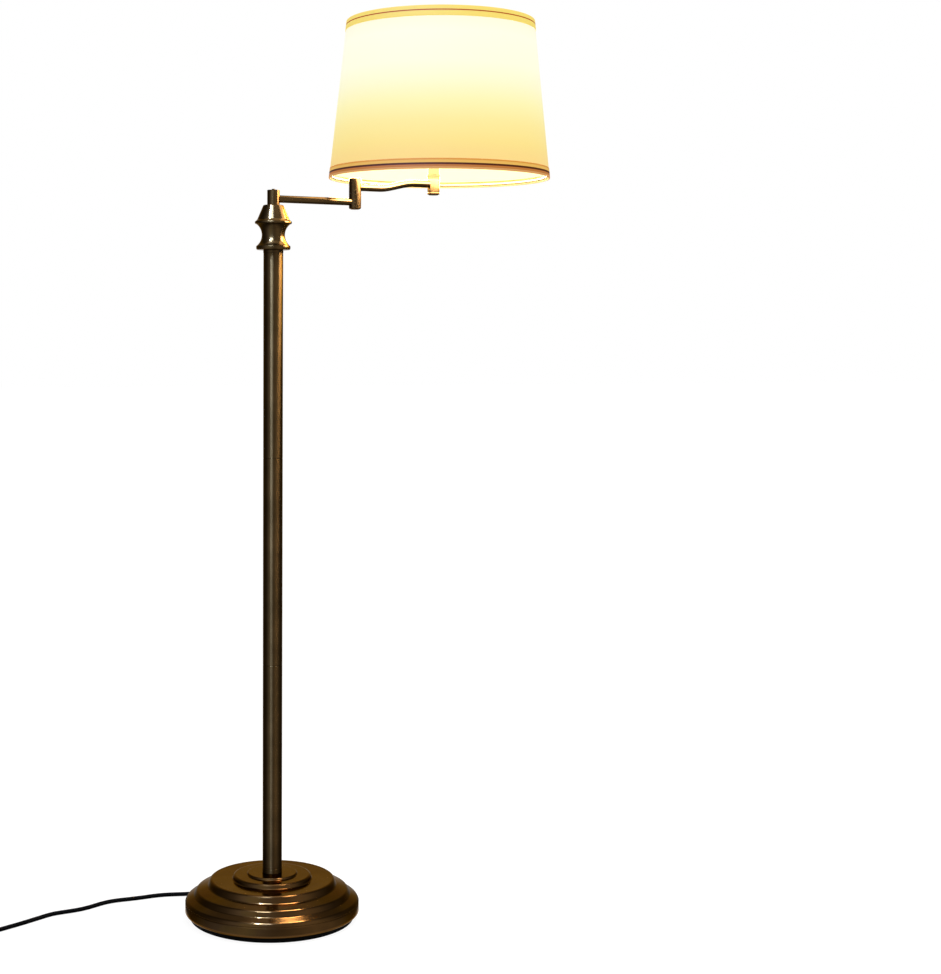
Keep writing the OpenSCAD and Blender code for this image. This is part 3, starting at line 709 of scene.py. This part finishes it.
@dataclass
class Camera:
    """Camera fitted to the photograph; its own frame is turned by arm_turn from the lamp's."""

    distance: float = 2.8205
    height: float = 0.9260
    yaw: float = 0.04321
    pitch: float = 0.08217
    roll: float = 0.00535
    arm_turn: float = 0.38542
    lens: float = 66.15
    shift: float = 0.1237

    def turned(self, v: Vector) -> Vector:
        """Vector of the camera's floor frame in the lamp's frame."""
        c, s = math.cos(self.arm_turn), math.sin(self.arm_turn)
        return Vector((v.x * c + v.y * s, -v.x * s + v.y * c, v.z))

    def make(self) -> None:
        """Create the camera and make it the scene's."""
        ahead = Vector(
            (
                math.sin(self.yaw) * math.cos(self.pitch),
                math.cos(self.yaw) * math.cos(self.pitch),
                -math.sin(self.pitch),
            )
        )
        level = Vector((math.cos(self.yaw), -math.sin(self.yaw), 0))
        upright = level.cross(ahead)
        c, s = math.cos(self.roll), math.sin(self.roll)
        columns = [
            self.turned(c * level + s * upright),
            self.turned(c * upright - s * level),
            self.turned(-ahead),
        ]
        data = bpy.data.cameras.new("camera")
        data.lens = self.lens
        data.sensor_width = 36.0
        data.sensor_fit = "AUTO"
        data.shift_x = self.shift
        camera = bpy.data.objects.new("camera", data)
        bpy.context.scene.collection.objects.link(camera)
        turn = Matrix(columns).transposed().to_4x4()
        place = self.turned(Vector((0, -self.distance, self.height)))
        camera.matrix_world = Matrix.Translation(place) @ turn
        bpy.context.scene.camera = camera

    def around(self, azimuth: float, distance: float, height: float) -> Vector:
        """Place round the pole.

        Args:
            azimuth: Degrees to the right of the camera, seen from the pole.
            distance: Distance from the pole along the floor.
            height: Height above the floor.

        Returns:
            The place in the lamp's frame.
        """
        a = math.radians(azimuth)
        return self.turned(Vector((distance * math.sin(a), -distance * math.cos(a), height)))


# ------------------------------------------------------------------ mains lead


@dataclass
class MainsLead:
    """Black lead: out of the base, over the floor to a tied coil, and a short tail to its plug."""

    diameter: float = 7 * MM
    outlet: tuple[float, float, float] = (-79.1, 137.0, 5.2)
    route: tuple[Point, ...] = (
        (-4, 6.5, 5), (-9.5, 11.5, 4.4), (-17, 15.5, 3.8), (-28, 20, 3.5), (-42, 24, 3.5), (-56, 26.5, 3.5),
        (-72, 27, 3.5), (-90, 26.5, 3.5), (-108, 27, 3.5), (-124, 28, 3.5), (-138, 27.5, 3.5),
        (-152, 24.5, 3.5), (-167, 18.5, 3.5), (-182, 12, 3.5), (-197, 7.5, 3.5), (-212, 5.5, 3.5),
        (-228, 4.5, 3.5), (-242, 3, 3.5), (-254, -1, 3.5), (-268, -7.5, 3.5), (-283, -14.5, 3.5),
        (-298, -21.5, 3.5), (-313, -28, 3.5), (-329, -34.5, 3.5), (-351.3, -43.6, 3.5),
    )
    tail: tuple[Point, ...] = ((-46, 34, 9.6), (-46, 42, 7.9), (-46, 50, 6.5), (-46, 57, 6.5))
    coil_offset: tuple[float, float] = (-394.6, -14)
    coil_middle: float = 38
    pitch: float = 7.1
    layer_gap: float = 0.1
    start_angle: float = -62.0
    full_turns: int = 5
    turn_points: int = 36
    shift_start: float = 0.62

    def coil_centre(self) -> Vector:
        """Middle of the coil on the floor, in metres."""
        return Vector((self.outlet[0] + self.coil_offset[0], self.outlet[1] + self.coil_offset[1], 0)) * MM

    def coil(self) -> list[Vector]:
        """Points of the coil: three turns inwards on the floor, three outwards on top of them.

        Returns:
            The coil's centreline, in metres.
        """
        low, high = self.diameter / MM / 2, 1.5 * self.diameter / MM + self.layer_gap
        outer, inner = self.coil_middle + self.pitch, self.coil_middle - self.pitch

        def ease(t: float, turn: int) -> float:
            """Smooth share of the sideways step that the given turn ends with."""
            u = min(1.0, max(0.0, (t - turn - self.shift_start) / (1.0 - self.shift_start)))
            return u * u * (3 - 2 * u)

        def radius(t: float) -> float:
            """Radius after t turns."""
            inwards = self.pitch * (ease(t, 0) + ease(t, 1))
            outwards = self.pitch * (ease(t, 3) + ease(t, 4))
            return max(inner, outer - inwards) + outwards

        points = []
        turns = self.full_turns + (180 + self.start_angle) / 360
        count = int(turns * self.turn_points)
        for k in range(count + 1):
            t = turns * k / count
            a = math.radians(self.start_angle - 360 * t)
            z = low + (high - low) * ease(t, 2)
            r = radius(t)
            points.append(Vector((r * math.cos(a), r * math.sin(a), z)) * MM + self.coil_centre())
        return points

    def make(self, rubber: bpy.types.Material) -> None:
        """Args:
            rubber: The lead's material.
        """
        outlet = Vector(self.outlet) * MM
        base = Vector((outlet.x, outlet.y, 0))
        coil = self.coil()
        first = smooth_path([outlet, *(base + Vector(p) * MM for p in self.route), coil[0]])
        last = smooth_path([coil[-1], *(self.coil_centre() + Vector(p) * MM for p in self.tail)])
        line = first + coil[1:] + last[1:]
        curve = bpy.data.curves.new("mains_lead", "CURVE")
        curve.dimensions = "3D"
        curve.bevel_depth = self.diameter / 2
        curve.bevel_resolution = 4
        curve.use_fill_caps = True
        spline = curve.splines.new("POLY")
        spline.points.add(len(line) - 1)
        for point, place in zip(spline.points, line):
            point.co = (*place, 1.0)
        spline.use_smooth = True
        lead = bpy.data.objects.new("mains_lead", curve)
        bpy.context.scene.collection.objects.link(lead)
        dress(lead, rubber)
        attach(lead, Body.STAND.value)
        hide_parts("cord", "cord_coil", "cord_tail")


# ------------------------------------------------------------------ shade


@dataclass
class Shade:
    """Tapered linen shade on its wire frame, with ribbons folded over both rims."""

    centre: tuple[float, float] = Turning.SHADE.value
    foot: float = 1187.1 * MM
    height: float = 250 * MM
    foot_radius: float = 178.7 * MM
    head_radius: float = 151.2 * MM
    cloth: float = 1.2 * MM
    ribbon_width: float = 16 * MM
    ribbon_thickness: float = 0.6 * MM
    ribbon_gap: float = 0.05 * MM
    hem: float = 9 * MM
    seam_width: float = 9 * MM
    seam_ply: float = 0.35 * MM
    seam_gap: float = 0.04 * MM
    stations: int = 200
    flat: tuple[float, float] = (1.101, 0.332)

    def radius(self, z: float) -> float:
        """Outer radius of the cloth at height z above the shade's foot."""
        return self.foot_radius + (self.head_radius - self.foot_radius) * z / self.height

    def cover(self) -> bpy.types.Object:
        """Cloth wall, open at the top and the bottom.

        Returns:
            The cover.
        """
        steps = 24
        levels = [self.height * k / steps for k in range(steps + 1)]
        outer = [(self.radius(level), self.foot + level) for level in levels]
        inner = [(r - self.cloth, z) for r, z in reversed(outer)]
        return lathe("shade_linen", outer + inner, self.centre, self.stations)

    def lining_faces(self, cover: bpy.types.Object) -> None:
        """Give the cover's inner side its second material.

        Args:
            cover: The cover, with both materials in its slots.
        """
        axis = Vector((*self.centre, 0))
        for face in cover.data.polygons:
            out = face.center - axis
            out.z = 0
            face.material_index = 1 if face.normal.dot(out) < 0 else 0

    def ribbon(self, name: str, top: bool) -> bpy.types.Object:
        """Ribbon glued round a rim, folded over it and down the inside.

        Args:
            name: Name of the ribbon.
            top: True at the upper rim, False at the lower one.

        Returns:
            The ribbon.
        """
        t, gap = self.ribbon_thickness, self.ribbon_gap
        edge = self.height if top else 0.0
        inward = -1.0 if top else 1.0
        wide, deep = self.ribbon_width, self.hem

        def out(z: float, off: float) -> tuple[float, float]:
            """Point outside the cloth."""
            return self.radius(z) + off, self.foot + z

        def inside(z: float, off: float) -> tuple[float, float]:
            """Point inside the cloth."""
            return self.radius(z) - self.cloth - off, self.foot + z

        outer = [out(edge + inward * wide, gap + 0.3 * t), out(edge + inward * (wide - 0.6 * MM), gap + t)]
        outer += [out(edge + inward * wide * k / 8, gap + t) for k in range(7, 0, -1)]
        outer += [out(edge + inward * 0.5 * MM, gap + t), out(edge - inward * 0.25 * MM, gap + 0.3 * t)]
        across = [inside(edge - inward * 0.25 * MM, gap + 0.3 * t), inside(edge + inward * 0.5 * MM, gap + t)]
        within = [inside(edge + inward * deep * k / 4, gap + t) for k in range(1, 5)]
        back = [inside(edge + inward * deep, gap), inside(edge + inward * 0.1 * MM, gap)]
        back += [inside(edge - inward * 0.05 * MM, gap), out(edge - inward * 0.05 * MM, gap)]
        back += [out(edge + inward * 0.1 * MM, gap), out(edge + inward * wide, gap)]
        profile = outer + across + within + back
        return lathe(name, profile if top else profile[::-1], self.centre, self.stations)

    def seam(self) -> bpy.types.Object:
        """Overlapped seam that closes the cloth at the back of the shade.

        Returns:
            The seam's upper ply.
        """
        ply, gap, rows, columns = self.seam_ply, self.seam_gap, 18, 6
        start, end = self.ribbon_width + 0.3 * MM, self.height - self.ribbon_width - 0.3 * MM
        points: list[Point] = []
        for side in (gap, ply):
            for row in range(rows + 1):
                z = start + (end - start) * row / rows
                for column in range(columns + 1):
                    share = column / columns
                    lift = side if side < ply else gap + ply * min(1.0, 4 * share, 4 * (1 - share) + 0.25)
                    r = self.radius(z) + lift
                    a = math.pi / 2 + (share - 0.5) * self.seam_width / r
                    x, y = self.centre[0] + r * math.cos(a), self.centre[1] + r * math.sin(a)
                    points.append((x, y, self.foot + z))
        sheet = (rows + 1) * (columns + 1)
        faces: list[tuple[int, ...]] = []
        for row in range(rows):
            for column in range(columns):
                a = row * (columns + 1) + column
                quad = (a, a + 1, a + columns + 2, a + columns + 1)
                faces += [quad, tuple(sheet + i for i in reversed(quad))]
        for c in range(columns):
            last = rows * (columns + 1) + c
            faces += [(c + 1, c, sheet + c, sheet + c + 1), (last, last + 1, sheet + last + 1, sheet + last)]
        for row in range(rows):
            a, b = row * (columns + 1), (row + 1) * (columns + 1)
            faces += [(a, b, sheet + b, sheet + a)]
            a, b = a + columns, b + columns
            faces += [(b, a, sheet + a, sheet + b)]
        return solid("shade_seam", points, faces)

    def make(self) -> None:
        linen = LitLinen("cream_linen", self.foot, self.height).make()
        lining = unsampled(
            Glowing("shade_lining", linear(236, 226, 196), (1.0, 0.86, 0.52), 0.74, 30.0, 0.0).make()
        )
        cover = self.cover()
        dress(cover, linen)
        cover.data.materials.append(lining)
        self.lining_faces(cover)
        gold, line = linear(255, 228, 116), linear(176, 72, 8)
        orange, brown, straw = linear(205, 126, 56), linear(84, 36, 2), linear(232, 172, 104)
        bright, edge = linear(255, 200, 98), linear(230, 156, 62)
        head = LitRibbon(
            "gold_ribbon",
            self.foot + self.height - self.ribbon_width,
            self.ribbon_width,
            ((0.0, gold), (0.50, gold), (0.53, line), (0.61, line), (0.64, gold), (1.0, gold)),
            0.36,
        ).make()
        foot = LitRibbon(
            "amber_ribbon",
            self.foot,
            self.ribbon_width,
            (
                (0.0, straw), (0.16, straw), (0.20, orange), (0.38, orange), (0.41, brown),
                (0.57, brown), (0.60, bright), (0.84, bright), (0.88, edge), (1.0, edge),
            ),
        ).make()
        hem = LitRibbon(
            "hem_ribbon",
            self.foot,
            self.hem,
            ((0.0, linear(255, 226, 150)), (0.78, linear(255, 238, 176)), (0.84, edge), (1.0, edge)),
            0.5,
        ).make()
        upper, lower, seam = self.ribbon("ribbon_head", True), self.ribbon("ribbon_foot", False), self.seam()
        for piece, finish in ((upper, head), (lower, foot), (seam, linen)):
            dress(piece, finish)
        lower.data.materials.append(hem)
        self.lining_faces(lower)
        for piece in (cover, upper, lower, seam):
            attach(piece, Body.SHADE.value)
            LOG.info("shade piece %s", piece.name)
        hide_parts("shade_cover")
        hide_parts("shade_trims")
        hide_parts("shade_trims")


# ------------------------------------------------------------------ metal and other carried-over nodes


class Fittings:
    """Finishes for the nodes whose shape is already right."""

    def __init__(self, nodes: dict[str, bpy.types.Object], slots: dict[str, str]) -> None:
        """Keep the nodes.

        Args:
            nodes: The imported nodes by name.
            slots: The material slot of each node.
        """
        self.nodes = nodes
        self.slots = slots

    def finishes(self) -> dict[str, bpy.types.Material]:
        """One material for each plain slot.

        Returns:
            Materials by slot name.
        """
        return {
            "zinc_steel": PlainMetal("zinc_plate", linear(176, 178, 180), 0.32).make(),
            "iron": PlainMetal("cast_iron", linear(62, 60, 58), 0.62, 300.0, 0.3).make(),
            "pad": BlackPolymer("pad_rubber", linear(4, 4, 4), 0.8, 500.0, 0.1 * MM, 0.04).make(),
            "lead": BlackPolymer("inner_lead", linear(13, 13, 13), 0.45).make(),
            "black_plastic": BlackPolymer(
                "black_plastic", linear(16, 15, 15), 0.36, 1400.0, 0.03 * MM, 0.5
            ).make(),
            "brass": PlainMetal("satin_brass", linear(196, 156, 88), 0.30).make(),
            "bulb_cap": PlainMetal("bulb_cap", linear(205, 205, 205), 0.25).make(),
            "bulb_glass": Glowing("frosted_glass", (0.9, 0.88, 0.82), (1.0, 0.86, 0.58), 3.0, 20.0).make(),
            "frame_wire": PlainMetal("frame_wire", linear(200, 168, 104), 0.35).make(),
        }

    def bronze(self) -> Callable[[str], bpy.types.Material]:
        """Bronze materials by node, each brushed round its own axis.

        Returns:
            A function from a node's name to its material.
        """
        pole = BrushedBronze("bronze_pole", roughness=0.34, anisotropy=1.0).make()
        base = BrushedBronze(
            "bronze_base", deep=linear(70, 49, 26), bright=linear(88, 62, 32), roughness=0.15, anisotropy=0.4
        ).make()
        elbow = BrushedBronze("bronze_elbow", Turning.ELBOW, roughness=0.18, anisotropy=0.6).make()
        socket = BrushedBronze("bronze_socket", Turning.SOCKET, roughness=0.16, anisotropy=0.5).make()
        tube = BrushedBronze("bronze_tube", roughness=0.18, anisotropy=0.0, lengthways=True).make()
        turned = BrushedBronze("bronze_turned", roughness=0.22, anisotropy=0.7).make()

        def choose(node: str) -> bpy.types.Material:
            """Material of one bronze node."""
            if node.endswith("arm_tube"):
                return tube
            if node.startswith("elbow"):
                return elbow
            if node in ("shade_knuckle", "knuckle_bead", "neck_ring", "socket_neck", "finial"):
                return socket
            if node in ("neck_bell", "neck_spool", "column_knuckle", "column_cap"):
                return turned
            return base if node == "base_cover" else pole

        return choose

    def make(self) -> None:
        """Dress every node by its slot."""
        plain = self.finishes()
        bronze = self.bronze()
        for name, obj in self.nodes.items():
            slot = self.slots[name]
            if slot in plain:
                dress(obj, plain[slot])
            elif slot == "bronze":
                dress(obj, bronze(name))
            LOG.info("node %s: %s", name, slot)


# ------------------------------------------------------------------ studio


@dataclass(frozen=True)
class Card:
    """Glowing card that only the metal mirrors: its place round the pole, its size and its light."""

    name: str
    azimuth: float
    distance: float
    height: float
    size: tuple[float, float]
    light: Colour


@dataclass
class Studio:
    """Pale floor and sky, two soft lamps, and the screen and cards that only the metal mirrors."""

    camera: Camera
    overhead_place: Point = (0.2, -0.4, 3.0)
    overhead_aim: Point = (0.0, 0.0, 0.7)
    overhead_size: tuple[float, float] = (2.2, 2.2)
    overhead_power: float = 14.0
    overhead_colour: Colour = (1.0, 0.97, 0.92)
    card_aim: Point = (0.0, 0.0, 0.05)
    cards: tuple[Card, ...] = (
        Card("dot", -33, 0.9, 2.1, (0.09, 0.34), (240.0, 380.0, 760.0)),
        Card("window", -15, 0.95, 1.9, (0.36, 0.5), (26.0, 40.0, 72.0)),
    )
    floor_size: float = 60.0
    floor_drop: float = 0.5 * MM
    floor_colour: Colour = (0.86, 0.86, 0.86)
    floor_white: float = 1.15
    floor_share: float = 0.8
    sky_light: float = 0.55
    glow_place: Point = (0.290, 0.0, 1.186)
    glow_width: float = 0.33
    glow_power: float = 12.0
    glow_colour: Colour = (1.0, 0.84, 0.68)
    tent_rings: Profile = ((0.16, 0.0012), (1.15, 0.0012), (1.15, 2.9))
    tent_steps: int = 144
    mat_light: float = 0.75
    screen: tuple[tuple[float, Colour], ...] = (
        (-180, (0.95, 0.95, 0.95)),
        (-155, (0.60, 0.60, 0.60)),
        (-125, (0.08, 0.08, 0.08)),
        (-98, (0.10, 0.10, 0.10)),
        (-70, (0.26, 0.26, 0.26)),
        (-46, (0.80, 0.90, 1.20)),
        (-30, (0.95, 1.20, 2.00)),
        (-14, (0.80, 0.90, 1.10)),
        (4, (0.50, 0.50, 0.50)),
        (22, (0.62, 0.62, 0.60)),
        (42, (0.95, 0.93, 0.90)),
        (62, (0.70, 0.70, 0.66)),
        (84, (0.30, 0.30, 0.30)),
        (112, (0.10, 0.10, 0.10)),
        (135, (0.16, 0.16, 0.16)),
        (158, (0.60, 0.60, 0.60)),
        (180, (0.95, 0.95, 0.95)),
    )

    def overhead(self) -> None:
        """Add the soft rectangular lamp above the object."""
        data = bpy.data.lights.new("overhead", "AREA")
        data.shape = "RECTANGLE"
        data.size, data.size_y = self.overhead_size
        data.energy = self.overhead_power
        data.color = self.overhead_colour
        made = bpy.data.objects.new("overhead", data)
        place = Vector(self.overhead_place)
        made.location = place
        made.rotation_mode = "QUATERNION"
        made.rotation_quaternion = (Vector(self.overhead_aim) - place).to_track_quat("-Z", "Y")
        bpy.context.scene.collection.objects.link(made)

    def shade_glow(self) -> None:
        """Add the bulb's warm light that leaves the shade's lower opening."""
        data = bpy.data.lights.new("shade_glow", "AREA")
        data.shape = "DISK"
        data.size = self.glow_width
        data.energy = self.glow_power
        data.color = self.glow_colour
        made = bpy.data.objects.new("shade_glow", data)
        made.location = self.glow_place
        made.visible_camera = False
        bpy.context.scene.collection.objects.link(made)

    def unseen(self, made: bpy.types.Object) -> None:
        """Let only reflections see a card."""
        made.visible_camera = False
        made.visible_shadow = False
        made.visible_diffuse = False
        made.visible_transmission = False

    def hang(self, card: Card) -> None:
        """Hang one card.

        Args:
            card: The card.
        """
        w, h = card.size[0] / 2, card.size[1] / 2
        made = solid(card.name, [(-w, -h, 0), (w, -h, 0), (w, h, 0), (-w, h, 0)], [(0, 1, 2, 3)])
        place = self.camera.around(card.azimuth, card.distance, card.height)
        made.rotation_mode = "QUATERNION"
        made.location = place
        made.rotation_quaternion = (Vector(self.card_aim) - place).to_track_quat("Z", "Y")
        sheen, g = material(card.name + "_light")
        output(g, g.node("ShaderNodeEmission", {"Color": card.light, "Strength": 1.0}).outputs[0])
        dress(made, sheen)
        self.unseen(made)

    def tent(self) -> None:
        """Add the soft round screen that the metal mirrors: pale in front and behind, dark at the sides."""
        steps, count = self.tent_steps, len(self.tent_rings)
        points = [
            tuple(self.camera.around(360 * step / steps, radius, height))
            for step in range(steps)
            for radius, height in self.tent_rings
        ]
        faces = [
            (a + i, a + i + 1, b + i + 1, b + i)
            for a, b in ((step * count, (step + 1) % steps * count) for step in range(steps))
            for i in range(count - 1)
        ]
        made = solid("tent", points, faces)
        made.data.polygons.foreach_set("use_smooth", [False] * len(made.data.polygons))
        cloth, g = material("tent_cloth")
        _, angle, height = g.polar(Turning.POLE.value)
        front = self.camera.around(0, 1.0, 0)
        turn = math.atan2(front.y, front.x)
        turns = g.maths("DIVIDE", g.maths("SUBTRACT", angle, turn), 2 * math.pi)
        share = g.maths("FRACT", g.maths("ADD", turns, 1.5))
        colour = g.ramp(share, [((azimuth + 180) / 360, shade) for azimuth, shade in self.screen], "B_SPLINE")
        on_floor = g.maths("LESS_THAN", height, 0.01)
        strength = g.maths("MULTIPLY_ADD", on_floor, self.mat_light - 1.0, 1.0)
        output(g, g.node("ShaderNodeEmission", {"Color": colour, "Strength": strength}).outputs[0])
        dress(made, unsampled(cloth))
        self.unseen(made)

    def floor(self) -> None:
        """Pale floor that the camera sees as white and that keeps a soft shadow."""
        half = self.floor_size / 2
        corners = [(-half, -half, 0), (half, -half, 0), (half, half, 0), (-half, half, 0)]
        made = solid("floor", corners, [(0, 1, 2, 3)])
        made.location = (0, 0, -self.floor_drop)
        paint, g = material("pale_floor")
        matt = g.node("ShaderNodeBsdfDiffuse", {"Color": self.floor_colour}).outputs[0]
        light = {"Color": (1.0, 1.0, 1.0), "Strength": self.floor_white}
        white = g.node("ShaderNodeEmission", light).outputs[0]
        share = g.maths("MULTIPLY", g.seen(), self.floor_share)
        output(g, g.node("ShaderNodeMixShader", {0: share, 1: matt, 2: white}).outputs[0])
        dress(made, paint)

    def sky(self) -> None:
        """White surroundings for what is seen, softer light on the object."""
        world = bpy.data.worlds.new("studio")
        bpy.context.scene.world = world
        world.use_nodes = True
        g = Graph(world.node_tree)
        soft = g.node("ShaderNodeBackground", {"Color": (1.0, 1.0, 1.0), "Strength": self.sky_light})
        white = g.node("ShaderNodeBackground", {"Color": (1.0, 1.0, 1.0), "Strength": 1.0})
        mixed = g.node("ShaderNodeMixShader", {0: g.seen(), 1: soft.outputs[0], 2: white.outputs[0]})
        g.node("ShaderNodeOutputWorld", {"Surface": mixed.outputs[0]})

    def make(self) -> None:
        """Build the floor, the surroundings, the lamps, the screen and the cards."""
        self.floor()
        self.sky()
        self.overhead()
        self.shade_glow()
        self.tent()
        for card in self.cards:
            self.hang(card)
        bpy.context.scene.view_settings.view_transform = "Standard"


def main() -> None:
    """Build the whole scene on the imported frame."""
    logging.basicConfig(level=logging.INFO, format="%(message)s")
    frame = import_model()
    camera = Camera()
    camera.make()
    MainsLead().make(BlackPolymer("lead_rubber", linear(4, 4, 4), 0.7, 700.0, 0.03 * MM, 0.03).make())
    Shade().make()
    slots = {entry["node"]: entry["material_slot"] for entry in frame["record"]["subparts"]}
    Fittings(frame["nodes"], slots).make()
    Studio(camera).make()
    bpy.context.view_layer.update()


if __name__ == "__main__":
    main()
